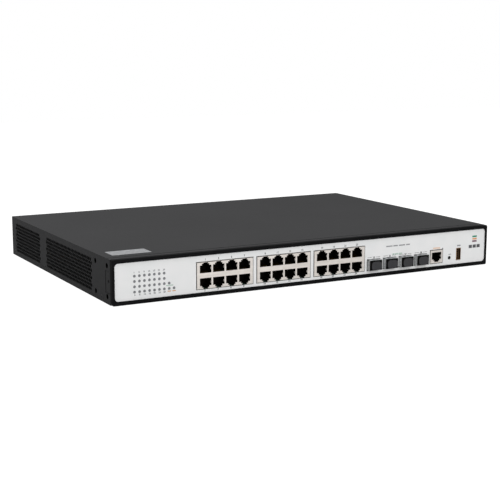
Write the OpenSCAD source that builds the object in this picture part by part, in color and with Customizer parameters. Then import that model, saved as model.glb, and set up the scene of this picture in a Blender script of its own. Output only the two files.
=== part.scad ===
// Rack-width Ethernet switch, one unit high: a steel case with a plastic bezel and a printed
// front panel, three blocks of eight RJ45 ports, four pluggable-module cages with dust plugs,
// a console port, a reset button, an upright USB socket, and the boards, fans and supply inside.
// Millimetres. +Z is up, the ports face -Y, and the origin lies on the ground under the middle.

/* [Case] */
// Width over the side walls
case_w = 440; // [438:1:444]
// Depth from the bezel's front to the cover's rear lip
case_d = 305; // [303:1:330]
// Height from the base to the top of the cover
case_h = 43.6; // [43.4:0.1:45]
// Thickness of the steel sheet
sheet = 1; // [0.8:0.1:1.1]
// Hairline gap left between two sheets that meet
seam = 0.05; // [0.03:0.01:0.1]

/* [Bezel and panel] */
// Depth of the bezel ring
bezel_d = 5; // [4.5:0.1:6]
// Radius of the bezel's outer corners
bezel_r = 1.7; // [0.8:0.1:3]
// Radius of the corners of the bezel's window
window_r = 3.7; // [2:0.1:5]
// Width of the bezel at each side
bezel_side = 2.5; // [2.2:0.1:3]
// Width of the bezel along the bottom
bezel_low = 3.9; // [3:0.1:4.3]
// Width of the bezel along the top
bezel_high = 3.6; // [3:0.1:4.3]
// How far the printed panel lies behind the bezel's front
panel_inset = 1.2; // [0.9:0.1:1.3]
// Thickness of the printed panel
panel_t = 0.45; // [0.3:0.05:0.5]

/* [Indicator lights] */
// Pitch of the lights, both ways
light_pitch = 5.05; // [4.8:0.01:5.1]
// Diameter of a light
light_dia = 2.5; // [1.8:0.1:2.6]
// Centre of the first column
light_x = -197.4; // [-199:0.1:-196]
// Height of the lowest row
light_z = 11.35; // [11:0.05:12]

/* [Ethernet ports] */
// Pitch of the ports in a block
port_pitch = 14.14; // [14:0.01:14.3]
// Pitch of the three port blocks
block_pitch = 65.7; // [65:0.1:66]
// Centre of the middle block
block_x = -36.8; // [-38:0.1:-36.5]
// Width of a block
block_w = 60.8; // [59.5:0.1:61]
// Height of a block
block_h = 25.8; // [25.6:0.1:26]
// Distance between the mouths of the upper and the lower row
row_gap = 5; // [4.8:0.1:5.2]

/* [Module cages] */
// Pitch of the cages
cage_pitch = 20.1; // [19.5:0.1:20.5]
// Centre of the first cage
cage_x = 70.8; // [70.4:0.1:71]
// Outer width of a cage
cage_w = 14.6; // [14.4:0.1:15]
// Outer height of a cage
cage_h = 10.2; // [10:0.1:10.6]
// How far a cage stands out of the bezel
cage_out = 3.4; // [2:0.1:4]
// How far a dust plug stands out of the bezel
plug_out = 5.2; // [4.8:0.1:7]

/* [Console, reset and USB] */
// Centre of the console port
console_x = 152.3; // [152:0.1:153]
// Centre of the reset button
reset_x = 169.7; // [169:0.1:170.5]
// Height of the reset button
reset_z = 11.4; // [11.3:0.1:12.5]
// Travel of the reset button
reset_travel = 0.5; // [0.2:0.1:0.6]
// Centre of the USB socket
usb_x = 181.9; // [181:0.1:182.5]

/* [Side vents] */
// Height of the lowest row of vents
vent_low = 6.9; // [6:0.1:7]
// Diameter of a vent hole
vent_dia = 3.6; // [2.4:0.1:3.6]
// Pitch along a row
vent_pitch = 4.1; // [4:0.05:4.1]
// Distance between rows
vent_rise = 3.6; // [3.5:0.05:3.7]

/* [Rack ear holes] */
// Depth of the front pair behind the bezel's front
ear_depth = 12.7; // [12:0.1:14]
// Distance between the front and the rear pair
ear_run = 29.3; // [28:0.1:30]
// Distance between the lower and the upper pair
ear_rise = 29.4; // [28:0.1:30]
// Radius of an ear hole
ear_hole_r = 2.6; // [1.9:0.1:2.8]

/* [Fans] */
// Outer side of a fan frame
fan_side = 40; // [38:1:40]
// Thickness of a fan frame
fan_t = 20; // [18:1:20]
// Number of blades on a rotor
fan_blades = 7; // [5:1:9]

/* [Hidden] */
$fn = 48;

half_w = case_w / 2;
cover_under = case_h - sheet;
wall_inner = half_w - sheet;
body_start = bezel_d + seam;
rear_face = case_d - sheet - seam;
fold_r = 0.6;
inlet_flange = 3;
front_y = -(rear_face + inlet_flange - plug_out) / 2;

// Panel stack behind the bezel's lip
wall_front = panel_inset + panel_t + seam;
wall_back = wall_front + sheet;
pocket_side = 1.6;
pocket_low = 1.4;
panel_clear = 0.2;

// Flanges folded back from the front wall: a strip in front of the cover, and a wing that fills
// the notch in each side wall
cover_front = 13;
notch_back = 17;
notch_low = 10.6;
notch_high = 32;
flange_gap = 0.3;
flange_drop = 0.25;
catch_low = [8.2, 20.8];
catch_high = [11.4, 23.4];

// Boards
board_t = 1.6;
board_top = 7.2;
board_left = -206;
board_right = 194;
board_front = 4.5;
board_back = 180;
power_left = -204;
power_right = -80;
power_front = 196;
power_back = 268;
board_points = [for (x = [-196, -69.6, 59.7, 184], d = [34, 172]) [x, d]];
power_points = [for (x = [-198, -86], d = [202, 262]) [x, d]];
screw_r = 1.45;

// Port blocks
block_front = 1;
block_depth = 22;
block_z = board_top + seam + block_h / 2;
blocks = [for (i = [-1:1]) block_x + i * block_pitch];
shell_t = 0.3;
mouth_w = 12.4;
mouth_h = 7.5;
cavity_depth = 13;
console_w = 16;
console_h = 13.8;
console_z = board_top + seam + console_h / 2;
console_floor = 18.9;

// Module cages
cages = [for (i = [0:3]) cage_x + i * cage_pitch];
cage_z = board_top + 0.7 + cage_h / 2;
cage_back = 43;
cage_t = 0.3;
spring_stand = 0.5;
plug_clear = 0.3;
plug_depth = 9;

// USB and reset
usb_w = 6;
usb_h = 13;
usb_z = 14.6;
usb_back = 15;
button_r = 1.7;

// Vents: hole columns of the front and of the rear field on each side wall
front_field = 53.4;
front_columns = 32;
rear_field = 207.6;
rear_columns = 20;

// Fans
fan_depths = [88, 142];
fan_bore = fan_side / 2 - 1.2;
fan_screw_at = 0.4 * fan_side;
hub_r = 9.5;
shaft_r = 1;
shaft_clear = 0.04;

// Rear fittings
inlet_x = -150;
inlet_z = 20.5;
earth_x = -195;
earth_z = 20.5;
earth_r = 1.9;
lip_low = 35;
lip_screws = [-200, 0, 200];
lip_screw_z = 39;
side_screw_depths = [27, 191.5, 295.5];
side_screw_z = 4.4;

// Label on the cover
label_low = [-210.4, 21.9];
label_high = [-170, 42.9];

// Switch chip under its heat sink
switch_x = -10;
switch_depth = 112;
chip_h = 2.4;

function at(depth) = front_y + depth;

// Extrudes an outline drawn in X and Z, from a depth behind the bezel's front
module upright(depth, thick) {
    translate([0, at(depth) + thick, 0]) rotate([90, 0, 0]) linear_extrude(thick) children();
}

// Extrudes an outline drawn in depth and Z, along +X
module sideways(x, thick) {
    translate([x, front_y, 0]) rotate([90, 0, 90]) linear_extrude(thick) children();
}

// Extrudes an outline drawn in X and depth, upwards
module level(z, thick) {
    translate([0, front_y, z]) linear_extrude(thick) children();
}

// A box given by two corners, the depth counted from the bezel's front
module block(low, high) {
    translate([low.x, at(low.y), low.z]) cube(high - low);
}

module box_outline(low, high) {
    translate(low) square(high - low);
}

module rounded_outline(low, high, r) {
    box_outline(low + [r, 0], high - [r, 0]);
    box_outline(low + [0, r], high - [0, r]);
    for (x = [low.x + r, high.x - r], y = [low.y + r, high.y - r]) translate([x, y]) circle(r);
}

module turned_front(x, z) {
    translate([x, front_y, z]) rotate([-90, 0, 0]) children();
}

module turned_rear(x, z, depth) {
    translate([x, at(depth), z]) rotate([-90, 0, 0]) children();
}

module turned_side(side, depth, z) {
    translate([side * half_w, at(depth), z]) rotate([0, -90 * side, 0]) children();
}

// ---- Case ----

module vent_field(first, columns) {
    for (row = [0:8]) {
        long = row % 2;
        for (i = [0:columns - 1 + long])
            translate([first + (i + (1 - long) / 2) * vent_pitch, vent_low + row * vent_rise])
                circle(d = vent_dia, $fn = 24);
    }
}

// A round field of vents in front of one fan
module fan_vents(depth) {
    reach = fan_bore - 1.5;
    for (row = [-4:4], i = [-5:5]) {
        place = [(i + (abs(row) % 2) / 2) * vent_pitch, row * vent_rise];
        if (norm(place) < reach) translate(place + [depth, case_h / 2]) circle(d = vent_dia, $fn = 24);
    }
}

module ear_places() {
    for (d = [0, ear_run], z = [-0.5, 0.5]) translate([ear_depth + d, case_h / 2 + z * ear_rise]) children();
}

module fan_screw_places() {
    for (d = fan_depths, u = [-1, 1], v = [-1, 1])
        translate([d + u * fan_screw_at, case_h / 2 + v * fan_screw_at]) children();
}

// A side wall: its front edge is notched between the ear holes, around the front wall's wing
module side_wall_outline() {
    difference() {
        box_outline([body_start, 0], [case_d, cover_under - seam]);
        ear_places() circle(ear_hole_r);
        box_outline([0, notch_low], [notch_back, notch_high]);
        vent_field(rear_field, rear_columns);
        children();
    }
}

module countersunk_hole(side, depth, z, r) {
    turned_side(side, depth, z) translate([0, 0, -0.01]) {
        cylinder(h = sheet + 0.1, r1 = r + 1.25, r2 = r + 0.15);
        cylinder(h = sheet + 1, r = r + 0.1);
    }
}

module side_screw_holes(side) {
    for (d = side_screw_depths) countersunk_hole(side, d, side_screw_z, screw_r);
}

module left_side_wall() {
    color("#38383a") difference() {
        sideways(-half_w, sheet) side_wall_outline() vent_field(front_field, front_columns);
        side_screw_holes(-1);
    }
}

module right_side_wall() {
    color("#38383a") difference() {
        sideways(wall_inner, sheet) side_wall_outline() for (d = fan_depths) fan_vents(d);
        side_screw_holes(1);
        for (d = fan_depths, u = [-1, 1], v = [-1, 1])
            countersunk_hole(1, d + u * fan_screw_at, case_h / 2 + v * fan_screw_at, screw_r);
    }
}

module base_plate() {
    color("#38383a") level(0, sheet) difference() {
        box_outline([seam - wall_inner, body_start], [wall_inner - seam, rear_face]);
        for (p = concat(board_points, power_points)) translate(p) circle(screw_r + 0.1);
    }
}

module rear_wall() {
    color("#38383a") upright(rear_face - sheet, sheet) difference() {
        box_outline([seam - wall_inner, sheet + seam], [wall_inner - seam, cover_under - seam]);
        box_outline([inlet_x - 13.8, inlet_z - 10.2], [inlet_x + 13.8, inlet_z + 10.2]);
        for (x = [-20, 20]) translate([inlet_x + x, inlet_z]) circle(screw_r + 0.1);
        for (x = lip_screws) translate([x, lip_screw_z]) circle(screw_r + 0.1);
        translate([earth_x, earth_z]) circle(earth_r + 0.1);
    }
}

module top_cover() {
    color("#4a4a4c") difference() {
        union() {
            intersection() {
                block([-half_w, cover_front, cover_under], [half_w, case_d, case_h]);
                upright(0, case_d + 1) rounded_outline([-half_w, 0], [half_w, case_h], fold_r);
            }
            block([seam - wall_inner, case_d - sheet, lip_low],
                [wall_inner - seam, case_d, cover_under + 0.1]);
        }
        upright(case_d - sheet - 1, sheet + 2)
            for (x = lip_screws) translate([x, lip_screw_z]) circle(screw_r + 0.2);
    }
}

// Every opening in the front, each made larger by a clearance, which is less at the small ones
module panel_openings(clear) {
    snug = clear - 0.35;
    for (x = blocks)
        box_outline([x - block_w / 2 - clear, block_z - block_h / 2 - clear],
            [x + block_w / 2 + clear, block_z + block_h / 2 + clear]);
    for (x = cages)
        box_outline([x - cage_w / 2 - spring_stand - clear, cage_z - cage_h / 2 - spring_stand - clear],
            [x + cage_w / 2 + spring_stand + clear, cage_z + cage_h / 2 + spring_stand + clear]);
    box_outline([console_x - console_w / 2 - clear, console_z - console_h / 2 - clear],
        [console_x + console_w / 2 + clear, console_z + console_h / 2 + clear]);
    box_outline([usb_x - usb_w / 2 - snug, usb_z - usb_h / 2 - snug],
        [usb_x + usb_w / 2 + snug, usb_z + usb_h / 2 + snug]);
    translate([reset_x, reset_z]) circle(button_r + snug + 0.1);
    light_places() circle(d = light_dia + clear / 2);
}

module panel_outline(clear) {
    difference() {
        box_outline([pocket_side + panel_clear - half_w, pocket_low + panel_clear],
            [half_w - pocket_side - panel_clear, case_h - pocket_low - panel_clear]);
        panel_openings(clear);
    }
}

module front_wall() {
    color("#b9bbbd") upright(wall_front, sheet) panel_outline(0.7);
}

// The strip and the two wings lie a little under the case's outer faces
module front_flanges() {
    under = cover_under + seam;
    wing_out = half_w - flange_drop;
    color("#38383a") {
        block([-half_w, body_start, under], [half_w, cover_front - flange_gap, case_h - flange_drop]);
        for (side = [-1, 1]) sideways(side > 0 ? wing_out - sheet : -wing_out, sheet) difference() {
            box_outline([body_start, notch_low + flange_gap],
                [notch_back - flange_gap, notch_high - flange_gap]);
            box_outline(catch_low, catch_high);
        }
    }
}

module front_overlay() {
    color("#e2e2e2") upright(panel_inset, panel_t) panel_outline(0.5);
}

// The bezel's outer form, its front edge rounded in three steps
module bezel_form() {
    edge = 0.4;
    hull() for (x = [-1, 1], z = [0, 1], a = [0, 30, 60, 90]) {
        inset = edge * (1 - sin(a));
        from = edge * (1 - cos(a));
        translate([x * (half_w - bezel_r), at(from), bezel_r + z * (case_h - 2 * bezel_r)])
            rotate([-90, 0, 0]) cylinder(h = bezel_d - from, r = bezel_r - inset, $fn = 32);
    }
}

// A springy arm inside each wing, with a catch that snaps into the wing's slot
module bezel_arm(side) {
    arm_out = wall_inner - flange_drop - 0.15;
    mirror([side < 0 ? 1 : 0, 0, 0]) {
        block([arm_out - 1.4, wall_back + 0.3, catch_low.y - 1.4],
            [arm_out, catch_high.x + 0.8, catch_high.y + 1.4]);
        block([arm_out - 1.4, catch_low.x + 0.2, catch_low.y + 0.2],
            [half_w - flange_drop - 0.1, catch_high.x - 0.2, catch_high.y - 0.2]);
    }
}

module front_bezel() {
    color("#1c1c1d") union() {
        difference() {
            bezel_form();
            upright(-1, bezel_d) rounded_outline([bezel_side - half_w, bezel_low],
                [half_w - bezel_side, case_h - bezel_high], window_r);
            block([pocket_side - half_w, panel_inset, pocket_low],
                [half_w - pocket_side, bezel_d + 1, case_h - pocket_low]);
        }
        for (side = [-1, 1]) bezel_arm(side);
    }
}

// Angle brackets that join the side walls to the base
module side_brackets() {
    angle = [[0, 0], [9, 0], [9, 1.2], [1.6, 1.2], [1.6, 7], [0, 7]];
    color("#9a9c9e") for (side = [-1, 1], d = side_screw_depths) difference() {
        translate([side * (wall_inner - seam), at(d) + 5, sheet + seam])
            mirror([side > 0 ? 1 : 0, 0, 0]) rotate([90, 0, 0]) linear_extrude(10) polygon(angle);
        turned_side(side, d, side_screw_z) cylinder(h = 6, r = screw_r + 0.05);
    }
}

module countersunk_screw(length) {
    difference() {
        union() {
            cylinder(h = sheet, r1 = screw_r + 1.15, r2 = screw_r + 0.05);
            cylinder(h = length, r = screw_r);
        }
        for (a = [0, 90]) rotate(a) translate([-1.3, -0.25, -1]) cube([2.6, 0.5, 1.5]);
    }
}

module side_screws() {
    color("#2b2b2d") for (side = [-1, 1], d = side_screw_depths)
        turned_side(side, d, side_screw_z) countersunk_screw(4.5);
}

module pan_screw(length, r) {
    difference() {
        union() {
            cylinder(h = 0.9, r = 2 * r);
            translate([0, 0, 0.9]) cylinder(h = 0.5, r1 = 2 * r, r2 = 1.5 * r);
            translate([0, 0, -length]) cylinder(h = length + 0.5, r = r);
        }
        for (a = [0, 90]) rotate(a) translate([-r, -0.25, 0.6]) cube([2 * r, 0.5, 2]);
    }
}

module rear_screws() {
    color("#b5b7b9") {
        for (x = lip_screws) turned_rear(x, lip_screw_z, case_d) pan_screw(5, screw_r);
        for (x = [-20, 20]) turned_rear(inlet_x + x, inlet_z, rear_face + inlet_flange - 1.4)
            pan_screw(6, screw_r);
    }
}

module ear_nuts() {
    color("#b5b7b9") for (side = [-1, 1]) ear_nut_row(side);
}

module ear_nut_row(side) {
    nut = 2.2;
    sideways(side > 0 ? wall_inner - seam - nut : seam - wall_inner, nut)
        ear_places() difference() {
            circle(3.6);
            circle(ear_hole_r);
        }
}

// ---- Ethernet ports ----

// Mouth of an RJ45 jack, its latch recess upwards, measured from the middle of its floor
module mouth_outline(clear = 0) {
    box_outline([-mouth_w / 2 - clear, -clear], [mouth_w / 2 + clear, mouth_h + clear]);
    box_outline([-4 - clear, 0], [4 + clear, mouth_h + 1.6 + clear]);
    box_outline([-2.6 - clear, 0], [2.6 + clear, mouth_h + 3 + clear]);
}

module block_mouths(clear = 0) {
    for (i = [0:3], up = [-1, 1])
        translate([(i - 1.5) * port_pitch, block_z + up * row_gap / 2])
            mirror([0, up < 0 ? 1 : 0]) mouth_outline(clear);
}

module console_mouth(clear = 0) {
    translate([0, console_floor]) mirror([0, 1]) mouth_outline(clear);
}

module jack_shield(x, z, w, h) {
    color("#d8d4ce") translate([x, 0, 0]) difference() {
        block([-w / 2, block_front, z - h / 2], [w / 2, block_front + block_depth, z + h / 2]);
        block([-w / 2 + shell_t, block_front + shell_t, z - h / 2 - 1],
            [w / 2 - shell_t, block_front + block_depth - shell_t, z + h / 2 - shell_t]);
        upright(block_front - 1, 2) children();
    }
}

module jack_housing(x, z, w, h) {
    wall = shell_t + seam;
    color("#141312") translate([x, 0, 0]) difference() {
        block([-w / 2 + wall, block_front + wall, z - h / 2 + seam],
            [w / 2 - wall, block_front + block_depth - 4, z + h / 2 - wall]);
        upright(block_front, cavity_depth) children();
    }
}

// The eight contact springs of one jack, rising from its floor towards the back
module jack_contacts(floor_z, up) {
    spring = [[4.6, 0], [5.4, 0], [11.6, 1.9], [11.5, 2.2], [5, 0.35], [4.6, 0.35]];
    translate([0, front_y, floor_z]) mirror([0, 0, up < 0 ? 1 : 0])
        for (k = [0:7]) translate([(k - 3.5) * 1.02 - 0.2, 0, 0])
            rotate([90, 0, 90]) linear_extrude(0.4) polygon(spring);
}

module port_contacts() {
    color("#c9a24a") {
        for (x = blocks, i = [0:3], up = [-1, 1]) translate([x + (i - 1.5) * port_pitch, 0, 0])
            jack_contacts(block_z + up * row_gap / 2, up);
        translate([console_x, 0, 0]) jack_contacts(console_floor, -1);
    }
}

module port_shield(n) {
    jack_shield(blocks[n], block_z, block_w, block_h) block_mouths();
}

module port_housing(n) {
    jack_housing(blocks[n], block_z, block_w, block_h) block_mouths(0.05);
}

module console_shield() {
    jack_shield(console_x, console_z, console_w, console_h) console_mouth();
}

module console_housing() {
    jack_housing(console_x, console_z, console_w, console_h) console_mouth(0.05);
}

// ---- Module cages ----

module sfp_cage(n) {
    x = cages[n];
    low = [x - cage_w / 2, -cage_out, cage_z - cage_h / 2];
    high = [x + cage_w / 2, cage_back, cage_z + cage_h / 2];
    color("#a9abac") difference() {
        block(low, high);
        block(low + [cage_t, -1, cage_t], high - [cage_t, cage_t, cage_t]);
    }
}

module sfp_connectors() {
    color("#1d1d1f") for (x = cages) difference() {
        block([x - 6.2, 34, cage_z - cage_h / 2 + cage_t + seam], [x + 6.2, cage_back - 1, cage_z + 2.6]);
        block([x - 5, 33, cage_z - 1.2], [x + 5, 38, cage_z + 0.6]);
    }
}

// A collar round each cage's mouth, with spring fingers that press outwards on the panel's edge
module sfp_springs() {
    strip = 0.2;
    side_fingers = 3;
    top_fingers = 3;
    reach = wall_back + 0.6;
    side_step = (cage_h + 0.4) / side_fingers;
    top_step = (cage_w + 0.4) / top_fingers;
    leaf = [
        [1 - cage_out, seam], [0.5, spring_stand], [reach, seam], [reach, seam + strip],
        [0.6, spring_stand + strip], [1 - cage_out, seam + strip]
    ];
    color("#8f9193") for (x = cages) {
        low = [x - cage_w / 2 - seam, cage_z - cage_h / 2 - seam];
        high = [x + cage_w / 2 + seam, cage_z + cage_h / 2 + seam];
        upright(0.2 - cage_out, 0.9) difference() {
            box_outline(low - [strip, strip], high + [strip, strip]);
            box_outline(low, high);
        }
        for (side = [-1, 1]) {
            for (k = [0:side_fingers - 1])
                translate([x + side * cage_w / 2, front_y, low.y + 0.5 + k * side_step])
                    mirror([side < 0 ? 1 : 0, 0, 0]) linear_extrude(side_step - 1)
                        polygon([for (p = leaf) [p.y, p.x]]);
            for (k = [0:top_fingers - 1])
                translate([low.x + 0.5 + k * top_step, front_y, cage_z + side * cage_h / 2])
                    mirror([0, 0, side < 0 ? 1 : 0]) rotate([90, 0, 90])
                        linear_extrude(top_step - 1) polygon(leaf);
        }
    }
}

// Oval pull grip, a flange that covers the cage's rim, and a block that fills its mouth
module dust_plug(n) {
    fit = cage_t + plug_clear;
    inner_w = cage_w - 2 * fit;
    inner_h = cage_h - 2 * fit;
    grip_w = 12.6;
    grip_h = 9.2;
    grip_r = 3.6;
    grip_drop = 0.5;
    round_edge = 0.6;
    flange_w = cage_w + 0.2;
    flange_h = cage_h + 0.2;
    flange_back = -cage_out - 0.06;
    flange_front = flange_back - 0.6;
    color("#3a3a3b") translate([cages[n], 0, cage_z]) {
        block([-inner_w / 2, flange_front, -inner_h / 2], [inner_w / 2, plug_depth, inner_h / 2]);
        block([-flange_w / 2, flange_front, -flange_h / 2], [flange_w / 2, flange_back, flange_h / 2]);
        hull() for (x = [-1, 1], z = [-1, 1], a = [0, 45, 90]) {
            inset = round_edge * (1 - sin(a));
            from = round_edge * (1 - cos(a)) - plug_out;
            translate([x * (grip_w / 2 - grip_r), at(from), z * (grip_h / 2 - grip_r) - grip_drop])
                rotate([-90, 0, 0]) cylinder(h = flange_back - from, r = grip_r - inset, $fn = 32);
        }
    }
}

// ---- USB socket and reset button ----

module usb_shell() {
    t = 0.35;
    low = [usb_x - usb_w / 2, 0.9, usb_z - usb_h / 2];
    high = [usb_x + usb_w / 2, usb_back, usb_z + usb_h / 2];
    color("#b9b6b0") difference() {
        block(low, high);
        block(low + [t, -1, t], high - [t, t, t]);
    }
}

module usb_tongue() {
    t = 0.4;
    color("#1a1918") {
        block([usb_x + 0.1, 2.6, usb_z - 5.5], [usb_x + 1.95, usb_back - 3, usb_z + 5.5]);
        block([usb_x - usb_w / 2 + t, usb_back - 4, usb_z - usb_h / 2 + t],
            [usb_x + usb_w / 2 - t, usb_back - t, usb_z + usb_h / 2 - t]);
    }
}

module usb_contacts() {
    color("#c9a24a") for (z = [-3.5, -1, 1, 3.5])
        block([usb_x - 0.1, 3.4, usb_z + z - 0.6], [usb_x + 0.09, usb_back - 4.02, usb_z + z + 0.6]);
}

module reset_switch() {
    color("#2a2a2c") difference() {
        block([reset_x - 3.2, 6, board_top + 0.05], [reset_x + 3.2, 11, reset_z + 3.2]);
        turned_front(reset_x, reset_z) cylinder(h = 10, r = button_r + 0.1);
    }
}

module reset_button() {
    color("#262627") turned_front(reset_x, reset_z) translate([0, 0, wall_front + 0.1])
        cylinder(h = 8.6 - wall_front, r = button_r);
}

// ---- Indicator lights ----

// Four rows of seven lights, and three more that step down at their right
module light_places() {
    for (col = [0:8], row = [0:3]) if (col < 7 || row < 9 - col && row < 2)
        translate([light_x + col * light_pitch, light_z + row * light_pitch]) children();
}

module led_light_guides() {
    color("#8d8f91") upright(panel_inset - 0.1, 6.8) light_places() circle(d = light_dia);
}

module led_chips() {
    color("#e8e4c8") upright(8, 0.9) light_places() square([1.6, 1.2], center = true);
}

module led_board() {
    color("#1f5a38") upright(8.95, 1.2) box_outline([light_x - 5, board_top + seam],
        [light_x + 8 * light_pitch + 5, light_z + 3 * light_pitch + 4]);
}

// ---- Main board ----

module board_holes(points) {
    for (p = points) translate(p) circle(1.6);
}

module main_board() {
    color("#1f5a38") level(board_top - board_t, board_t) difference() {
        box_outline([board_left, board_front], [board_right, board_back]);
        board_holes(board_points);
    }
}

module power_board() {
    color("#8a6a3c") level(board_top - board_t, board_t) difference() {
        box_outline([power_left, power_front], [power_right, power_back]);
        board_holes(power_points);
    }
}

module board_standoffs() {
    color("#c2a75a") level(sheet, board_top - board_t - sheet)
        for (p = concat(board_points, power_points)) translate(p) difference() {
            circle(3);
            circle(screw_r + 0.05);
        }
}

module board_screws() {
    color("#b5b7b9") for (p = concat(board_points, power_points))
        translate([p.x, at(p.y), board_top]) pan_screw(5, screw_r);
}

module chip(x, depth, side, height) {
    block([x - side / 2, depth - side / 2, board_top],
        [x + side / 2, depth + side / 2, board_top + height]);
}

module board_chips() {
    color("#232325") {
        chip(switch_x, switch_depth, 31, chip_h);
        for (x = blocks) chip(x, 60, 18, 1.4);
        for (d = [92, 112]) chip(70, d, 12, 1.2);
        chip(110, 100, 17, 1.6);
    }
}

module heat_sink() {
    low = board_top + chip_h;
    side = 56;
    fins = 10;
    step = (side - 1.6) / (fins - 1);
    color("#8e9092") {
        block([switch_x - side / 2, switch_depth - side / 2, low],
            [switch_x + side / 2, switch_depth + side / 2, low + 3]);
        for (k = [0:fins - 1])
            block([switch_x - side / 2, switch_depth - side / 2 + k * step, low + 2.5],
                [switch_x + side / 2, switch_depth - side / 2 + k * step + 1.6, low + 18]);
    }
}

module port_magnetics() {
    color("#1b1b1c") for (x = blocks, u = [-15, 15])
        block([x + u - 12, 26, board_top], [x + u + 12, 40, board_top + 5.5]);
}

// ---- Power supply ----

module power_transformer() {
    color("#6a5a2a") {
        block([-140, 216, board_top], [-108, 246, board_top + 5]);
        block([-136, 212, board_top + 4.5], [-112, 250, board_top + 22]);
        block([-140, 216, board_top + 21.5], [-108, 246, board_top + 26]);
    }
}

module can(x, depth, r, h) {
    translate([x, at(depth), board_top]) rotate_extrude() polygon([
        [0, 0], [r, 0], [r, 2], [r - 0.4, 2.6], [r, 3.2], [r, h - 0.6], [r - 0.6, h], [0, h]
    ]);
}

module power_capacitors() {
    color("#2c2f45") {
        can(-170, 226, 9, 30);
        for (d = [212, 226, 240]) can(-92, d, 5, 20);
        can(-186, 252, 6, 16);
    }
}

module power_heat_plates() {
    color("#a7a9ab") for (x = [-154, -102.5])
        block([x, 212, board_top], [x + 2.5, 252, board_top + 26]);
}

// Outline of the inlet's socket, its two upper corners cut off
module inlet_outline(grow) {
    w = 12 + grow;
    h = 8.5 + grow;
    polygon([[-w, -h], [w, -h], [w, h - 5], [w - 5, h], [5 - w, h], [-w, h - 5]]);
}

module inlet_pin_places() {
    for (p = [[-7, -1.5], [7, -1.5], [0, 2.5]]) translate([inlet_x + p.x, inlet_z + p.y]) children();
}

module mains_inlet() {
    color("#1b1b1c") difference() {
        union() {
            upright(rear_face - 18, 18.5)
                box_outline([inlet_x - 13.6, inlet_z - 10], [inlet_x + 13.6, inlet_z + 10]);
            upright(rear_face, inlet_flange) difference() {
                rounded_outline([inlet_x - 25, inlet_z - 11.3], [inlet_x + 25, inlet_z + 11.3], 4);
                for (x = [-20, 20]) translate([inlet_x + x, inlet_z]) circle(screw_r + 0.1);
            }
        }
        upright(rear_face - 14, 18) translate([inlet_x, inlet_z]) inlet_outline(0);
        upright(rear_face - 20, 8) inlet_pin_places() square([2.1, 4.1], center = true);
        upright(rear_face + inlet_flange - 1.4, 2)
            for (x = [-20, 20]) translate([inlet_x + x, inlet_z]) circle(2 * screw_r + 0.2);
    }
}

module inlet_pins() {
    color("#c8c2a8") upright(rear_face - 25, 25 + inlet_flange - 1.5)
        inlet_pin_places() square([2, 4], center = true);
}

// A green-yellow marked terminal screw with its washer
module earth_screw() {
    color("#b5b7b9") turned_rear(earth_x, earth_z, rear_face + 0.02) {
        difference() {
            cylinder(h = 0.8, r = 4.4);
            translate([0, 0, -1]) cylinder(h = 3, r = earth_r + 0.2);
        }
        translate([0, 0, 0.82]) cylinder(h = 2.1, r = 3.6, $fn = 6);
        translate([0, 0, -6]) cylinder(h = 7, r = earth_r);
    }
}

// ---- Leads ----

// Straight lead wires between two plug bodies
module lead_run(from, to, pitch, count, r) {
    along = to - from;
    turn = abs(along.x) > 0 ? [0, 90, 0] : [-90, 0, 0];
    side = abs(along.x) > 0 ? [0, pitch, 0] : [pitch, 0, 0];
    for (k = [0:count - 1])
        translate([from.x, at(from.y), from.z] + (k - (count - 1) / 2) * side)
            rotate(turn) cylinder(h = norm(along), r = r, $fn = 24);
}

module lead_plug(x, depth, w, d) {
    block([x - w / 2, depth - d / 2, board_top], [x + w / 2, depth + d / 2, board_top + 6]);
}

module internal_leads() {
    lead_z = board_top + 3;
    power_x = -110;
    color("#d9d4c4") {
        lead_plug(power_x, 174, 22, 6);
        lead_plug(power_x, 202, 22, 6);
        lead_plug(inlet_x, 263, 22, 6);
        for (d = fan_depths) lead_plug(187, d, 6, 9);
    }
    color("#a02020") {
        lead_run([power_x, 176.8, lead_z], [power_x, 199.2, lead_z], 3, 6, 0.9);
        lead_run([inlet_x, 265.8, lead_z], [inlet_x, 277, lead_z], 7, 3, 1.2);
        for (d = fan_depths)
            lead_run([189.8, d, lead_z], [wall_inner - 0.1 - fan_t, d, lead_z], 2, 3, 0.6);
    }
}

// ---- Fans ----

module fan_place(n) {
    translate([wall_inner - 0.1 - fan_t, at(fan_depths[n]), case_h / 2]) rotate([0, 90, 0]) children();
}

module fan_frame(n) {
    half = fan_side / 2;
    color("#202022") fan_place(n) difference() {
        union() {
            linear_extrude(fan_t) difference() {
                rounded_outline([-half, -half], [half, half], 3);
                circle(fan_bore);
                for (u = [-1, 1], v = [-1, 1]) translate([u, v] * fan_screw_at) circle(screw_r + 0.15);
            }
            cylinder(h = 2, r = hub_r);
            cylinder(h = 13, r = 2.6);
            for (a = [30, 150, 270]) rotate(a) translate([hub_r - 2, -1.2, 0])
                cube([fan_bore - hub_r + 2.6, 2.4, 1.8]);
        }
        translate([0, 0, 1]) cylinder(h = 20, r = shaft_r + shaft_clear);
    }
}

module fan_rotor(n) {
    top = fan_t - 1.5;
    tip = fan_bore - 0.8;
    color("#2a2a2c") fan_place(n) {
        difference() {
            translate([0, 0, 3]) cylinder(h = top - 3, r = hub_r);
            translate([0, 0, 2]) cylinder(h = top - 3.2, r = hub_r - 1.1);
        }
        translate([0, 0, 1.6]) cylinder(h = top - 2, r = shaft_r);
        intersection() {
            translate([0, 0, 4]) cylinder(h = top - 5, r = tip);
            for (k = [0:fan_blades - 1]) rotate(k * 360 / fan_blades)
                translate([(hub_r + tip) / 2, 0, (top + 3) / 2]) rotate([48, 0, 0])
                    cube([tip - hub_r + 1.2, 1, 20], center = true);
        }
    }
}

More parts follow.
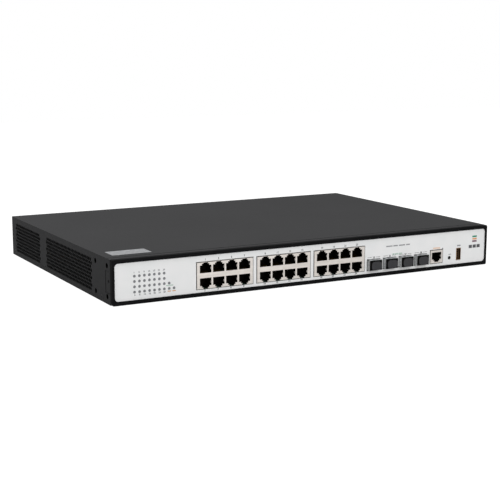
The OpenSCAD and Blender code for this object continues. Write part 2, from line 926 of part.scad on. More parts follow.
module fan_screws() {
    color("#2b2b2d") for (d = fan_depths, u = [-1, 1], v = [-1, 1])
        turned_side(1, d + u * fan_screw_at, case_h / 2 + v * fan_screw_at) countersunk_screw(10);
}

module top_label() {
    color("#a9aaac") level(case_h, 0.1) rounded_outline(label_low, label_high, 1.5);
}

base_plate();
left_side_wall();
right_side_wall();
rear_wall();
front_wall();
front_flanges();
top_cover();
front_bezel();
front_overlay();
side_brackets();
side_screws();
rear_screws();
ear_nuts();
port_shield(0);  // port_shield_1
port_shield(1);  // port_shield_2
port_shield(2);  // port_shield_3
port_housing(0);  // port_housing_1
port_housing(1);  // port_housing_2
port_housing(2);  // port_housing_3
port_contacts();
console_shield();
console_housing();
sfp_cage(0);  // sfp_cage_1
sfp_cage(1);  // sfp_cage_2
sfp_cage(2);  // sfp_cage_3
sfp_cage(3);  // sfp_cage_4
sfp_connectors();
sfp_springs();
dust_plug(0);  // dust_plug_1
dust_plug(1);  // dust_plug_2
dust_plug(2);  // dust_plug_3
dust_plug(3);  // dust_plug_4
usb_shell();
usb_tongue();
usb_contacts();
reset_switch();
reset_button();
led_light_guides();
led_board();
led_chips();
main_board();
board_standoffs();
board_screws();
board_chips();
heat_sink();
port_magnetics();
power_board();
power_transformer();
power_capacitors();
power_heat_plates();
mains_inlet();
inlet_pins();
earth_screw();
internal_leads();
fan_frame(0);  // fan_1_frame
fan_frame(1);  // fan_2_frame
fan_rotor(0);  // fan_1_rotor
fan_rotor(1);  // fan_2_rotor
fan_screws();
top_label();
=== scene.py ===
import math

import bmesh
import bpy
from mathutils import Matrix, Vector


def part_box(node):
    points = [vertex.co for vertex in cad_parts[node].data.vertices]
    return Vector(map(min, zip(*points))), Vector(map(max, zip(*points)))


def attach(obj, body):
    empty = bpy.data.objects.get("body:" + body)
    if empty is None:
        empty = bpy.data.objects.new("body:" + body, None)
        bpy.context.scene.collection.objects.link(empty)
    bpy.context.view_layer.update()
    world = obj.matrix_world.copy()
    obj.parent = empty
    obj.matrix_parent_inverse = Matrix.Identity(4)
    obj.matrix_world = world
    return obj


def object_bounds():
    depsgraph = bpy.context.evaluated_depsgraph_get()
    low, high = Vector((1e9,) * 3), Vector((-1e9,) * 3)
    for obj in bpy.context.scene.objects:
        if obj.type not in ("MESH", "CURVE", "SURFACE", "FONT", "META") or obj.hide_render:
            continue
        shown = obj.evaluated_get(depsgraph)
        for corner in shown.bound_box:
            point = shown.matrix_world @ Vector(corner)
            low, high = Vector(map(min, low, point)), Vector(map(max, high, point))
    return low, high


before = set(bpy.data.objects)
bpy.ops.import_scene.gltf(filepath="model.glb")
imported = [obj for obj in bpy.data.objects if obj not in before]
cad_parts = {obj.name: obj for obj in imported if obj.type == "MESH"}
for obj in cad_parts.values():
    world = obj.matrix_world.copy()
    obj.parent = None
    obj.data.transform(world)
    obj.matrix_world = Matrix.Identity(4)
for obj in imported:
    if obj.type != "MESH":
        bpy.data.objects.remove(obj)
cad_box = [[float(v) for v in corner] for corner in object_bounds()]


# ---- Studio ----
# A pale floor that a table-top studio would have, one large soft light overhead and a weaker one in
# front, and a camera a little above the case, off its left corner. None of it is part of the object.

MM = 0.001  # a size in millimetres, times this, is in metres


def srgb(code, alpha=1.0):
    """A hex colour as it is seen, turned to the linear values that shaders take."""
    parts = [int(code[i:i + 2], 16) / 255 for i in (1, 3, 5)]
    return (*[p / 12.92 if p <= 0.04045 else ((p + 0.055) / 1.055) ** 2.4 for p in parts], alpha)


def add(tree, kind, sockets=None, **settings):
    """Adds one node to a material's tree, with its settings, socket values and links."""
    made = tree.nodes.new(kind)
    for name, value in settings.items():
        setattr(made, name, value)
    for name, value in (sockets or {}).items():
        if isinstance(value, bpy.types.NodeSocket):
            tree.links.new(value, made.inputs[name])
        else:
            made.inputs[name].default_value = value
    return made


def blank_surface(name):
    """A new material with a Principled shader on its output."""
    material = bpy.data.materials.new(name)
    material.use_nodes = True
    tree = material.node_tree
    tree.nodes.clear()
    shader = add(tree, "ShaderNodeBsdfPrincipled")
    add(tree, "ShaderNodeOutputMaterial", {"Surface": shader.outputs["BSDF"]})
    return material, tree, shader


def studio_floor():
    """A floor card wider than the view, white to the camera and dimmer in what it throws back."""
    half_side, clearance = 2.2, 0.2 * MM
    material, tree, shader = blank_surface("matt_white_floor_card")
    place = add(tree, "ShaderNodeTexCoord").outputs["Object"]
    mottle = add(tree, "ShaderNodeTexNoise", {"Vector": place, "Scale": 3.0, "Detail": 2.0})
    shade = add(tree, "ShaderNodeValToRGB", {"Fac": mottle.outputs["Fac"]})
    shade.color_ramp.elements[0].color = srgb("#6a6a6a")
    shade.color_ramp.elements[1].color = srgb("#6e6e6e")
    tree.links.new(shade.outputs["Color"], shader.inputs["Base Color"])
    shader.inputs["Emission Color"].default_value = (1, 1, 1, 1)
    shader.inputs["Emission Strength"].default_value = 0.93
    shader.inputs["Roughness"].default_value = 0.9
    shader.inputs["Specular IOR Level"].default_value = 0.1
    # Light thrown back on the case is weak, as from a card that lies far below it.
    dim = add(tree, "ShaderNodeBsdfDiffuse", {"Color": srgb("#a4a4a4")})
    ray = add(tree, "ShaderNodeLightPath")
    both = add(tree, "ShaderNodeMixShader", {
        0: ray.outputs["Is Camera Ray"], 1: dim.outputs["BSDF"], 2: shader.outputs["BSDF"]})
    tree.links.new(both.outputs["Shader"], tree.nodes["Material Output"].inputs["Surface"])
    mesh = bpy.data.meshes.new("studio_floor")
    form = bmesh.new()
    bmesh.ops.create_grid(form, x_segments=8, y_segments=8, size=half_side)
    form.to_mesh(mesh)
    form.free()
    mesh.materials.append(material)
    floor = bpy.data.objects.new("studio_floor", mesh)
    floor.location.z = cad_box[0][2] - clearance
    bpy.context.scene.collection.objects.link(floor)


def soft_light(name, place, target, size, watts):
    """A softbox of a width and height in metres, turned towards a point."""
    light = bpy.data.lights.new(name, "AREA")
    light.shape = "RECTANGLE"
    light.size, light.size_y = size
    light.energy = watts
    lamp = bpy.data.objects.new(name, light)
    lamp.location = place
    lamp.rotation_euler = (Vector(target) - Vector(place)).to_track_quat("-Z", "Y").to_euler()
    bpy.context.scene.collection.objects.link(lamp)


def studio_world():
    """Surroundings that the camera sees as white, while they light the case far less."""
    world = bpy.data.worlds.new("studio_white")
    world.use_nodes = True
    tree = world.node_tree
    tree.nodes.clear()
    seen = add(tree, "ShaderNodeBackground", {"Color": (1, 1, 1, 1), "Strength": 1.0})
    lit = add(tree, "ShaderNodeBackground", {"Color": (1, 1, 1, 1), "Strength": 0.36})
    ray = add(tree, "ShaderNodeLightPath")
    both = add(tree, "ShaderNodeMixShader", {
        0: ray.outputs["Is Camera Ray"], 1: lit.outputs["Background"], 2: seen.outputs["Background"]})
    add(tree, "ShaderNodeOutputWorld", {"Surface": both.outputs["Shader"]})
    bpy.context.scene.world = world


def studio_camera():
    """A long lens about 1.2 m away, turned and tilted to where the case is seen from."""
    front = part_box("front_bezel")[0].y
    turn, tilt, roll = math.radians(28.55), math.radians(-10.31), math.radians(0.10)
    ahead = Vector((math.sin(turn) * math.cos(tilt), math.cos(turn) * math.cos(tilt), math.sin(tilt)))
    level = Vector((math.cos(turn), -math.sin(turn), 0))
    above = level.cross(ahead)
    right = math.cos(roll) * level + math.sin(roll) * above
    up = math.cos(roll) * above - math.sin(roll) * level
    data = bpy.data.cameras.new("camera")
    data.lens = 83.17
    data.sensor_width = 36
    camera = bpy.data.objects.new("camera", data)
    place = Vector((-0.6052, front - 0.9728, 0.2425))
    camera.matrix_world = Matrix.Translation(place) @ Matrix((right, up, -ahead)).transposed().to_4x4()
    bpy.context.scene.collection.objects.link(camera)
    bpy.context.scene.camera = camera


studio_camera()
studio_world()
studio_floor()
soft_light("overhead_softbox", (-0.6, 0.3, 2.2), (0, 0, 0), (3.0, 3.0), 80)
soft_light("front_softbox", (0.2, -2.6, 1.1), (0, 0, 0), (2.2, 1.4), 44)
bpy.context.scene.view_settings.view_transform = "Standard"


# ---- Case ----
# Cover, side walls, base, rear wall and front flanges: one millimetre steel sheet, punched, folded and
# powder coated in near-black. The coat is a fine orange peel, so it scatters light and hardly shines.
# The side walls are painted a shade paler as painted light, and the edges of their vents black as painted
# shade.

def dress(material, *nodes):
    """Puts a finish on CAD nodes."""
    for node in nodes:
        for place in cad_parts[node].material_slots:
            place.material = material


def finish(tree, shader, colour, roughness=None, relief=None):
    """Lets patterns drive a shader. Colour is a pattern, two tones and the two values they lie at,
    roughness is a pattern, its middle and its spread, and relief is a pattern, its strength and its
    depth in millimetres."""
    pattern, dark, light, low, high = colour
    ramp = add(tree, "ShaderNodeValToRGB", {"Fac": pattern})
    for stop, position, tone in zip(ramp.color_ramp.elements, (low, high), (dark, light)):
        stop.position = position
        stop.color = srgb(tone)
    tree.links.new(ramp.outputs["Color"], shader.inputs["Base Color"])
    if roughness:
        pattern, mean, spread = roughness
        rough = add(tree, "ShaderNodeMapRange", {
            "Value": pattern, "From Min": 0.3, "From Max": 0.7,
            "To Min": mean - spread, "To Max": mean + spread})
        tree.links.new(rough.outputs["Result"], shader.inputs["Roughness"])
    if relief:
        pattern, strength, depth_mm = relief
        bump = add(tree, "ShaderNodeBump", {
            "Height": pattern, "Strength": strength, "Distance": depth_mm * MM})
        tree.links.new(bump.outputs["Normal"], shader.inputs["Normal"])


def powder_coat(name, dark, light):
    """Polyester powder baked on steel: an orange peel of about 0.3 mm, drawn coarser so that it shows."""
    material, tree, shader = blank_surface(name)
    place = add(tree, "ShaderNodeTexCoord").outputs["Object"]
    peel = add(tree, "ShaderNodeTexNoise", {
        "Vector": place, "Scale": 1 / (1.1 * MM), "Detail": 3.0}).outputs["Fac"]
    cloud = add(tree, "ShaderNodeTexNoise", {
        "Vector": place, "Scale": 1 / (70 * MM), "Detail": 2.0}).outputs["Fac"]
    both = add(tree, "ShaderNodeMix", {"Factor": 0.5, "A": peel, "B": cloud}).outputs["Result"]
    finish(tree, shader, colour=(both, dark, light, 0.35, 0.65), roughness=(cloud, 0.62, 0.03),
           relief=(peel, 0.25, 0.05))
    shader.inputs["IOR"].default_value = 1.5
    shader.inputs["Specular IOR Level"].default_value = 0.1
    return material


dress(powder_coat("black_powder_coat", "#2a2a2b", "#303031"), "top_cover", "base_plate", "rear_wall",
      "front_flanges")


def punched_wall_coat():
    """The same coat a shade paler on a punched wall, as painted light. The edges of its holes face along
    the wall, and are painted black as painted shade.
    """
    # Painted light: this coat is a shade paler than the cover's, for the light that falls on the side
    # walls.
    material = powder_coat("black_powder_coat_on_vents", "#2b2b2c", "#323233")
    tree = material.node_tree
    shader = tree.nodes["Principled BSDF"]
    coat = shader.inputs["Base Color"].links[0].from_socket
    facing = add(tree, "ShaderNodeSeparateXYZ", {0: add(tree, "ShaderNodeNewGeometry").outputs["Normal"]})
    sideways = add(tree, "ShaderNodeMath", {0: facing.outputs["X"]}, operation="ABSOLUTE")
    flat = add(tree, "ShaderNodeMapRange", {
        "Value": sideways.outputs["Value"], "From Min": 0.3, "From Max": 0.8})
    # Painted shade: faces that point along the wall, the edges of the holes, are painted near-black.
    painted_rim_shade = add(tree, "ShaderNodeMixRGB", {
        "Fac": flat.outputs["Result"], "Color1": srgb("#0a0a0a"), "Color2": coat})
    tree.links.new(painted_rim_shade.outputs["Color"], shader.inputs["Base Color"])
    return material


dress(punched_wall_coat(), "left_side_wall", "right_side_wall")


# ---- Bezel ----
# A ring injection moulded in black ABS, snapped on with a springy arm at each side. The fine grain of
# the mould's spark-eroded walls takes away nearly all shine, so the ring reads darker than the case.

def moulded_plastic(name, dark, light, roughness=0.5, gloss=0.2, grain_mm=0.8, depth_mm=0.03):
    """Thermoplastic out of a spark-eroded mould: even colour with faint flow marks, and a soft satin.
    The mould's grain is under 0.1 mm, and drawn coarser so that it shows."""
    material, tree, shader = blank_surface(name)
    place = add(tree, "ShaderNodeTexCoord").outputs["Object"]
    grain = add(tree, "ShaderNodeTexNoise", {
        "Vector": place, "Scale": 1 / (grain_mm * MM), "Detail": 2.0}).outputs["Fac"]
    flow = add(tree, "ShaderNodeTexNoise", {
        "Vector": place, "Scale": 1 / (18 * MM), "Detail": 1.0}).outputs["Fac"]
    finish(tree, shader, colour=(flow, dark, light, 0.35, 0.65), roughness=(grain, roughness, 0.05),
           relief=(grain, 0.3, depth_mm))
    shader.inputs["IOR"].default_value = 1.5
    shader.inputs["Specular IOR Level"].default_value = gloss
    return material


dress(moulded_plastic("black_abs_bezel", "#121213", "#151516", gloss=0.02), "front_bezel")


# ---- Printed front panel ----
# A light grey polycarbonate film, screen printed and stuck to a zinc-plated steel wall. The film's
# face has a fine velvet texture that takes the shine off.

dress(moulded_plastic("velvet_polycarbonate_film", "#dedfdf", "#e2e2e2", 0.6, 0.15, 0.5, 0.01),
      "front_overlay")


def worked_metal(name, dark, light, crystal_mm, roughness):
    """Rolled, turned or plated metal: faint crystals, streaks from the working, a dull even shine.
    The streaks are finer than a hair, and drawn coarser so that they show."""
    material, tree, shader = blank_surface(name)
    place = add(tree, "ShaderNodeTexCoord").outputs["Object"]
    crystals = add(tree, "ShaderNodeTexVoronoi", {
        "Vector": place, "Scale": 1 / (crystal_mm * MM)}).outputs["Distance"]
    drawn_out = add(tree, "ShaderNodeMapping", {"Vector": place, "Scale": (0.05, 1, 1)}).outputs["Vector"]
    streaks = add(tree, "ShaderNodeTexNoise", {
        "Vector": drawn_out, "Scale": 1 / (1.1 * MM), "Detail": 3.0}).outputs["Fac"]
    both = add(tree, "ShaderNodeMix", {"Factor": 0.4, "A": streaks, "B": crystals}).outputs["Result"]
    finish(tree, shader, colour=(both, dark, light, 0.25, 0.75), roughness=(streaks, roughness, 0.05),
           relief=(streaks, 0.12, 0.01))
    shader.inputs["Metallic"].default_value = 1.0
    return material


dress(worked_metal("zinc_plated_steel", "#a8abae", "#c4c6c8", 3.0, 0.38), "front_wall", "side_brackets")


# ---- Screws and nuts ----
# Machine screws headed cold from steel wire. Those at the rear and on the boards are nickel plated, and
# those in the sides, with the nuts for the rack ears, are blackened in hot oxide to match the coat.

dress(worked_metal("nickel_plated_screws", "#b4b2ac", "#cfccc4", 0.8, 0.3), "rear_screws", "board_screws",
      "earth_screw")
dress(worked_metal("black_oxide_screws", "#1c1c1e", "#272729", 0.8, 0.42), "side_screws", "fan_screws",
      "ear_nuts")


# ---- Panel prints ----
# What is screen printed on the film: plain numbers at the lights and ports, bars in place of words,
# and a plain mark at the right. Dark lines round the large openings are painted shadow of the gaps there,
# laid the same way. Each ink is a piece of its own, a hair in front of the film.

BLOCKS = ("port_shield_1", "port_shield_2", "port_shield_3")
CAGES = ("sfp_cage_1", "sfp_cage_2", "sfp_cage_3", "sfp_cage_4")


def middle(node):
    """The middle of a node's box, in metres."""
    low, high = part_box(node)
    return (low + high) / 2


def screen_ink(name, dark, light):
    """A thin matt ink, a little uneven where the mesh of the screen laid it down."""
    return moulded_plastic(name, dark, light, 0.7, 0.1, 0.4, 0.005)


def lay_bar(form, x, z, width, height):
    """A rectangle of ink round a point, in millimetres."""
    corners = ((-0.5, -0.5), (0.5, -0.5), (0.5, 0.5), (-0.5, 0.5))
    form.faces.new([form.verts.new(((x + u * width) * MM, 0, (z + v * height) * MM)) for u, v in corners])


def lay_disc(form, x, z, radius, sides=24):
    """A dot of ink, in millimetres."""
    turns = [2 * math.pi * k / sides for k in range(sides)]
    form.faces.new([form.verts.new(((x + radius * math.cos(t)) * MM, 0, (z + radius * math.sin(t)) * MM))
                    for t in turns])


def lay_number(form, number, x, z, height, stroke=0.05):
    """A number in the plain built-in typeface, its strokes widened a little, in millimetres."""
    curve = bpy.data.curves.new("number", "FONT")
    curve.body = str(number)
    curve.size = height * MM / 0.7
    curve.align_x = "CENTER"
    curve.align_y = "CENTER"
    curve.resolution_u = 3
    curve.offset = stroke * MM
    holder = bpy.data.objects.new("number", curve)
    bpy.context.scene.collection.objects.link(holder)
    drawn = bpy.data.meshes.new_from_object(holder.evaluated_get(bpy.context.evaluated_depsgraph_get()))
    drawn.transform(Matrix.Translation((x * MM, 0, z * MM)) @ Matrix.Rotation(math.pi / 2, 4, "X"))
    form.from_mesh(drawn)
    bpy.data.meshes.remove(drawn)
    bpy.data.objects.remove(holder)
    bpy.data.curves.remove(curve)


def print_piece(name, form, plane, material):
    """Turns laid ink into a piece that rides on the chassis, at a plane in metres along Y."""
    mesh = bpy.data.meshes.new(name)
    form.to_mesh(mesh)
    form.free()
    mesh.transform(Matrix.Translation((0, plane, 0)))
    mesh.materials.append(material)
    piece = bpy.data.objects.new(name, mesh)
    bpy.context.scene.collection.objects.link(piece)
    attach(piece, "chassis")


film_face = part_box("front_overlay")[0].y - 0.02 * MM
lights_low, lights_high = (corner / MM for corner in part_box("led_light_guides"))
light_dia = 2.5
last_column = 8
light_pitch = (lights_high.x - lights_low.x - light_dia) / last_column
first_light = lights_low.x + light_dia / 2
port_pitch = 14.14  # from one jack of a block to the next


def print_on_film(name, form, ink, dark, light):
    """All that one ink puts on the panel, a hair in front of the film."""
    print_piece(name, form, film_face, screen_ink(ink, dark, light))


def print_numbers():
    """Light numbers above the top row and below the bottom row, port numbers at each port."""
    form = bmesh.new()
    small, large = 1.6, 1.9
    over_lights, under_lights = lights_high.z + 2.1, lights_low.z - 1.7
    for column in range(7):
        x = first_light + column * light_pitch
        lay_number(form, 4 * column + 1, x - 0.3, over_lights, small, 0.06)
        lay_number(form, 4 * column + 4, x + 0.1, under_lights, small, 0.05)
    over_block, under_block = 15.5, 14.6
    for block, node in enumerate(BLOCKS):
        centre = middle(node) / MM
        for port in range(4):
            x = centre.x + (port - 1.5) * port_pitch
            upper = 8 * block + 2 * port + 1
            lay_number(form, upper, x - 0.2, centre.z + over_block, large, 0.09)
            lay_number(form, upper + 1, x - 0.8, centre.z - under_block, large, 0.09)
    print_on_film("panel_numbers", form, "grey_screen_ink", "#5c5d5f", "#656668")


def print_bars():
    """Bars in place of the words, each in its word's colour, and plain numbers over the module slots."""
    grey, green, orange, pale, dark = (bmesh.new() for _ in range(5))

    # The four words high over the slots, each a middle and a width
    words_z = 30.6
    for x, width in ((90.5, 8), (98.4, 5.8), (106.7, 7.8), (114.4, 5)):
        lay_bar(grey, x, words_z, width, 1.3)

    # The slots' numbers with a dash to each side, and three short words between them
    numbers_z, dashes_z, short_words_z = 20.3, 20.7, 21.8
    for k, node in enumerate(CAGES):
        x = middle(node).x / MM
        lay_number(dark, 25 + k, x + 0.5, numbers_z, 1.8, 0.1)
        lay_bar(dark, x - 4.9, dashes_z, 5.6, 0.35)
        lay_bar(dark, x + 5.7, dashes_z, 5.0, 0.35)
    for x, width in ((96, 2.6), (100, 4.0), (104.8, 4.4)):
        lay_bar(green, x, short_words_z, width, 1.6)

    # Beside and below the last two columns of lights
    lay_bar(green, first_light + 7.1 * light_pitch, lights_low.z + 4.2, 7.4, 1.0)
    for column in (last_column - 1, last_column):
        lay_bar(orange, first_light + column * light_pitch, lights_low.z - 1.4, 3.6, 0.9)

    # Over the reset button, the USB socket and the console port, which has a dot at its corner
    reset, usb, console = (middle(node) / MM for node in ("reset_button", "usb_shell", "console_shield"))
    console_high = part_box("console_shield")[1] / MM
    lay_bar(grey, reset.x + 0.6, reset.z + 3.8, 3.6, 0.8)
    lay_bar(grey, usb.x + 0.3, usb.z + 9.2, 4.8, 1.5)
    lay_bar(pale, console.x, console_high.z + 2.3, 9.6, 1.9)
    lay_disc(dark, console_high.x + 0.2, console_high.z + 1.4, 0.65)

    print_on_film("panel_grey_bars", grey, "soft_grey_ink", "#8c8d8f", "#959698")
    print_on_film("panel_green_bars", green, "green_screen_ink", "#a9bab0", "#b1c2b8")
    print_on_film("panel_orange_bars", orange, "orange_screen_ink", "#c79468", "#cf9c70")
    print_on_film("panel_pale_bars", pale, "pale_orange_ink", "#ddc5b4", "#e0c9b9")
    print_on_film("panel_dark_marks", dark, "dark_screen_ink", "#3c3c3e", "#444446")


def print_mark():
    """A plain mark in place of a maker's sign: three small coloured bars over a row of charcoal blocks."""
    mark_x, bars_z, blocks_z = 203.5, 32.2, 21.4
    bar_step, block_step = 2.6, 5.4
    inks = (("green", "#37836a", "#3f8b72"), ("orange", "#cf9568", "#d79d70"),
            ("maroon", "#70505a", "#785862"))
    for k, (colour, dark, light) in enumerate(inks):
        bar = bmesh.new()
        lay_bar(bar, mark_x, bars_z - bar_step * k, 6.0, 1.8)
        print_on_film(f"panel_mark_{colour}_bar", bar, f"mark_{colour}_ink", dark, light)
    blocks = bmesh.new()
    for k in (-1, 0, 1):
        lay_bar(blocks, mark_x + block_step * k, blocks_z, 4.4, 3.5)
    print_on_film("panel_mark_blocks", blocks, "charcoal_screen_ink", "#555558", "#5c5c5f")


def print_keylines():
    """Painted shadow: a fine dark line along the edge of each large opening, where the gap round it lies
    in shade, stronger at its left and top.
    """
    form = bmesh.new()
    gap, strong, thin = 0.5, 0.4, 0.2
    for node in (*BLOCKS, "console_shield"):
        low, high = (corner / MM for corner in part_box(node))
        left, right, bottom, top = low.x - gap, high.x + gap, low.z - gap, high.z + gap
        across, up = (left + right) / 2, (bottom + top) / 2
        lay_bar(form, across, top + 0.18, right - left + 0.7, 0.36)
        lay_bar(form, left - strong / 2, up, strong, top - bottom)
        lay_bar(form, across, bottom - thin / 2, right - left + 0.4, thin)
        lay_bar(form, right + thin / 2, up, thin, top - bottom)
    print_on_film("panel_gap_shadows", form, "gap_shadow_ink", "#51514f", "#595957")


print_numbers()
print_bars()
print_mark()
print_keylines()


# ---- Port blocks ----
# Each block of jacks sits in a tinned steel shield, folded from 0.3 mm sheet and pressed on the board.
# The inserts are moulded in black nylon, and the eight springs of each jack are flashed with gold, which
# is painted dull dark brown as painted shade for the depth of a mouth.

shield_tin = worked_metal("tinned_steel_shield", "#ece5de", "#f5efe9", 4.0, 0.45)
dress(shield_tin, "console_shield", *BLOCKS)
dress(moulded_plastic("black_nylon_insert", "#0d0a08", "#100d0b", 0.6, 0.05), "port_housing_1",
      "port_housing_2", "port_housing_3", "console_housing", "sfp_connectors")
# Painted shade: the contacts' gold is painted dark brown for the depth of the mouths they sit in.
dress(worked_metal("shade_darkened_gold_contacts", "#5e4a20", "#6e572a", 0.5, 0.35), "port_contacts")


def shield_leaves():
    """Two leaves of the shield curl into the sides of each mouth, to touch a plug's own shield."""
    mouth_half, leaf_half, curl, reach, steps = 6.2, 1.1, 0.6, 2.6, 8
    row_step, leaf_rise = 2.5, 4.2  # from a block's middle to a mouth's floor, and on to its leaves
    console_floor = 18.9  # the console port hangs latch down, so its floor is on top
    places = [(middle(node).x / MM + (port - 1.5) * port_pitch,
               middle(node).z / MM + up * (row_step + leaf_rise))
              for node in BLOCKS for port in range(4) for up in (-1, 1)]
    places.append((middle("console_shield").x / MM, console_floor - leaf_rise))
    first_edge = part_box(BLOCKS[0])[0].y / MM + 0.02
    form = bmesh.new()
    for x, z in places:
        for side in (-1, 1):
            rows = []
            for k in range(steps + 1):
                across = x + side * (mouth_half - curl * math.sin(math.pi * k / steps))
                along = first_edge + reach * k / steps
                rows.append([form.verts.new((across * MM, along * MM, (z + end * leaf_half) * MM))
                             for end in (-1, 1)])
            for near, far in zip(rows, rows[1:]):
                form.faces.new((near[0], near[1], far[1], far[0])).smooth = True
    print_piece("shield_leaves", form, 0.0, shield_tin)


shield_leaves()


# ---- Module cages ----
# Cages folded from tinned steel, with a collar of spring fingers that earth them to the panel, and a
# moulded elastomer plug with an oval pull grip in each. The grip's face is painted pale as painted light,
# and all that lies behind it, its edge and sides, near-black as painted shade.

dress(worked_metal("tinned_steel_cage", "#d2d2d2", "#e2e2e2", 2.0, 0.4), *CAGES)
dress(worked_metal("tinned_spring_strip", "#b2b4b5", "#cacccd", 1.0, 0.35), "sfp_springs")


def plug_elastomer():
    """Soft matt elastomer: the grip's front is painted pale grey as painted light, and all that lies
    behind it is painted near-black as painted shade.
    """
    material, tree, shader = blank_surface("matt_plug_elastomer")
    place = add(tree, "ShaderNodeTexCoord").outputs["Object"]
    along = add(tree, "ShaderNodeSeparateXYZ", {0: add(tree, "ShaderNodeTexCoord").outputs["Generated"]})
    black_from, pale_to = 0.03, 0.005  # parts of the plug's length behind its face
    # Painted light and shade: paler towards the plug's front face, near-black behind it, with a faint
    # random bloom.
    front = add(tree, "ShaderNodeMapRange", {
        "Value": along.outputs["Y"], "From Min": black_from, "From Max": pale_to,
        "To Min": 0.0, "To Max": 0.9})
    bloom = add(tree, "ShaderNodeTexNoise", {
        "Vector": place, "Scale": 1 / (3 * MM), "Detail": 3.0}).outputs["Fac"]
    skin = add(tree, "ShaderNodeTexNoise", {
        "Vector": place, "Scale": 1 / (0.6 * MM), "Detail": 2.0}).outputs["Fac"]
    bloom_and_painted_light = add(tree, "ShaderNodeMath", {0: bloom, 1: 0.1, 2: front.outputs["Result"]},
               operation="MULTIPLY_ADD")
    finish(tree, shader, colour=(bloom_and_painted_light.outputs["Value"], "#070707", "#3d3d3f", 0.05, 1.0),
           roughness=(bloom, 0.7, 0.05), relief=(skin, 0.2, 0.02))
    shader.inputs["Specular IOR Level"].default_value = 0.06
    return material


dress(plug_elastomer(), "dust_plug_1", "dust_plug_2", "dust_plug_3", "dust_plug_4")


# ---- USB socket ----
# A shell folded from bare phosphor bronze, which shows as a brown rim, round a tongue moulded in dark
# brown polyester with four gold-plated contacts.

dress(worked_metal("bronze_socket_shell", "#b08c64", "#c49f76", 1.5, 0.35), "usb_shell")
dress(moulded_plastic("brown_polyester_tongue", "#34271b", "#423224", 0.5, 0.1), "usb_tongue")
dress(worked_metal("bright_gold_contacts", "#e0b26c", "#efc47e", 0.5, 0.3), "usb_contacts")


# ---- Reset button and its switch ----
# A black acetal button, polished by the mould, in a push switch on the board behind the panel. The
# switch, the chips and the port transformers are transfer moulded in the same dull black epoxy resin.

dress(moulded_plastic("black_acetal_button", "#141414", "#181818", 0.35, 0.3), "reset_button")
dress(moulded_plastic("black_moulding_resin", "#1a1a1b", "#202021", 0.6, 0.2), "reset_switch",
      "board_chips", "port_magnetics")


# ---- Indicator lights ----
# Smoky acrylic light guides moulded flush with the film, grey while they are unlit. Small diodes cast in
# milky yellow resin stand behind them on a board of their own.

dress(moulded_plastic("smoky_acrylic_guides", "#747678", "#7e8082", 0.25, 0.3), "led_light_guides")
dress(moulded_plastic("diode_resin", "#d8d3b0", "#e0dcc0", 0.2, 0.5), "led_chips")


# ---- Boards ----
# Glass-epoxy board under dark green solder resist, and the supply's board of brown paper laminate. Both
# stand on turned brass, and cooled parts have fins and plates of bare aluminium.

def board_laminate(name, dark, light, track_mm):
    """Copper tracks under lacquer: straight raised lines a little paler than the ground between them."""
    material, tree, shader = blank_surface(name)
    place = add(tree, "ShaderNodeTexCoord").outputs["Object"]
    tracks = add(tree, "ShaderNodeTexVoronoi", {"Vector": place, "Scale": 1 / (track_mm * MM)},
                 distance="MANHATTAN", feature="F1").outputs["Distance"]
    finish(tree, shader, colour=(tracks, light, dark, 0.2, 0.3), roughness=(tracks, 0.35, 0.05),
           relief=(tracks, 0.2, 0.03))
    return material


dress(board_laminate("green_solder_resist", "#0c2418", "#143424", 3.0), "main_board", "led_board")
dress(board_laminate("brown_paper_laminate", "#6b4d2c", "#7a5a36", 6.0), "power_board")
dress(worked_metal("turned_brass", "#a08040", "#b8964e", 0.6, 0.3), "board_standoffs")
dress(worked_metal("extruded_aluminium", "#8b8d90", "#a3a5a8", 1.5, 0.4), "heat_sink", "power_heat_plates")


# ---- Power supply ----
# A ferrite transformer wound with yellow polyester tape, and capacitors in shrunk dark sleeves with a
# pale stripe down the negative side.

def capacitor_sleeve():
    """Shrunk plastic sleeve with pale bands, and a shine from being stretched tight."""
    material, tree, shader = blank_surface("capacitor_sleeve")
    place = add(tree, "ShaderNodeTexCoord").outputs["Object"]
    stripe_mm = 18.85  # a wave of scale 1 repeats every pi / 10 metres
    stripes = add(tree, "ShaderNodeTexWave", {
        "Vector": place, "Scale": math.pi / 10 / (stripe_mm * MM), "Distortion": 0.0},
        bands_direction="X").outputs["Fac"]
    finish(tree, shader, colour=(stripes, "#1d2233", "#8d929c", 0.93, 0.95))
    shader.inputs["Roughness"].default_value = 0.25
    return material


dress(capacitor_sleeve(), "power_capacitors")
dress(moulded_plastic("transformer_tape", "#b9962e", "#c9a63a", 0.3, 0.5), "power_transformer")


# ---- Mains inlet, rear prints and leads ----
# A black thermoplastic inlet with nickel pins, an earthing sign printed in pale ink beside its screw,
# and wires in soft vinyl.

dress(moulded_plastic("inlet_thermoplastic", "#161617", "#1b1b1c", 0.45, 0.3), "mains_inlet")
dress(worked_metal("nickel_plated_pins", "#b8b29c", "#cdc7b0", 1.0, 0.25), "inlet_pins")
dress(moulded_plastic("vinyl_leads", "#7a1c18", "#8a2420", 0.4, 0.4), "internal_leads")


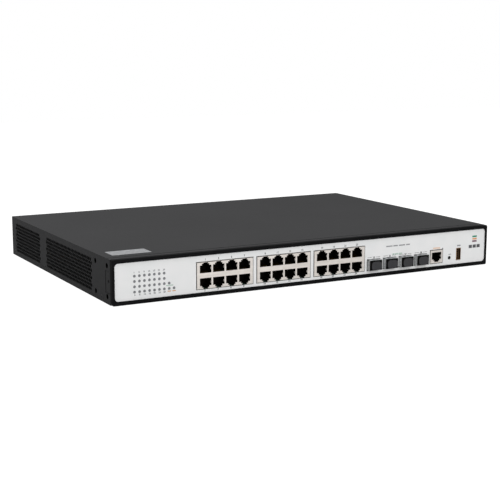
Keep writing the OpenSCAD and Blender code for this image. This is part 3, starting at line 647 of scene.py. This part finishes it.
def print_rear():
    """The earthing sign, and bars and dots in place of the rating words."""
    form = bmesh.new()
    earth, inlet = middle("earth_screw") / MM, middle("mains_inlet") / MM
    lay_bar(form, earth.x, earth.z + 11.2, 0.5, 3.0)
    for k, width in enumerate((5.0, 3.2, 1.4)):
        lay_bar(form, earth.x, earth.z + 9.6 - k * 1.1, width, 0.5)
    words_from, top_word, word_step = inlet.x + 35, inlet.z + 4, 4
    for k, width in enumerate((22, 16, 19)):
        lay_bar(form, words_from + width / 2, top_word - word_step * k, width, 1.4)
    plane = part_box("rear_wall")[1].y + 0.02 * MM
    ink = screen_ink("pale_screen_ink", "#b4b5b6", "#bdbebf")
    print_piece("rear_prints", form, plane, ink)


print_rear()


# ---- Fans ----
# Frames and rotors moulded in black glass-filled polyester, behind round fields of vents in the right
# wall. The rotor is a shade paler, from the fibres that its thin blades bring to the surface.

dress(moulded_plastic("fan_frame_plastic", "#151516", "#1a1a1b", 0.5, 0.25), "fan_1_frame", "fan_2_frame")
dress(moulded_plastic("fan_rotor_plastic", "#1d1d1e", "#232324", 0.45, 0.3), "fan_1_rotor", "fan_2_rotor")


# ---- Cover label ----
# A silvered polyester film label, stuck on the cover at its front left, with lines of small grey print.
# The lines are drawn coarser than they are, so that they still show from afar.

def label_film():
    """Lines of print: bands across the label, broken into words by a noise drawn out along the lines."""
    material, tree, shader = blank_surface("silvered_label_film")
    place = add(tree, "ShaderNodeTexCoord").outputs["Object"]
    word_mm, line_mm = 4.5, 4.084
    drawn_out = add(tree, "ShaderNodeMapping", {"Vector": place, "Scale": (1, 2, 1)}).outputs["Vector"]
    words = add(tree, "ShaderNodeTexNoise", {
        "Vector": drawn_out, "Scale": 1 / (word_mm * MM), "Detail": 3.0}).outputs["Fac"]
    lines = add(tree, "ShaderNodeTexWave", {
        "Vector": place, "Scale": math.pi / 10 / (line_mm * MM), "Distortion": 0.0},
        bands_direction="Y").outputs["Fac"]
    inked = add(tree, "ShaderNodeMath", {0: lines, 1: words}, operation="MULTIPLY").outputs["Value"]
    finish(tree, shader, colour=(inked, "#9c9d9f", "#4c4d4f", 0.2, 0.4), roughness=(words, 0.5, 0.05))
    shader.inputs["Specular IOR Level"].default_value = 0.3
    return material


dress(label_film(), "top_label")
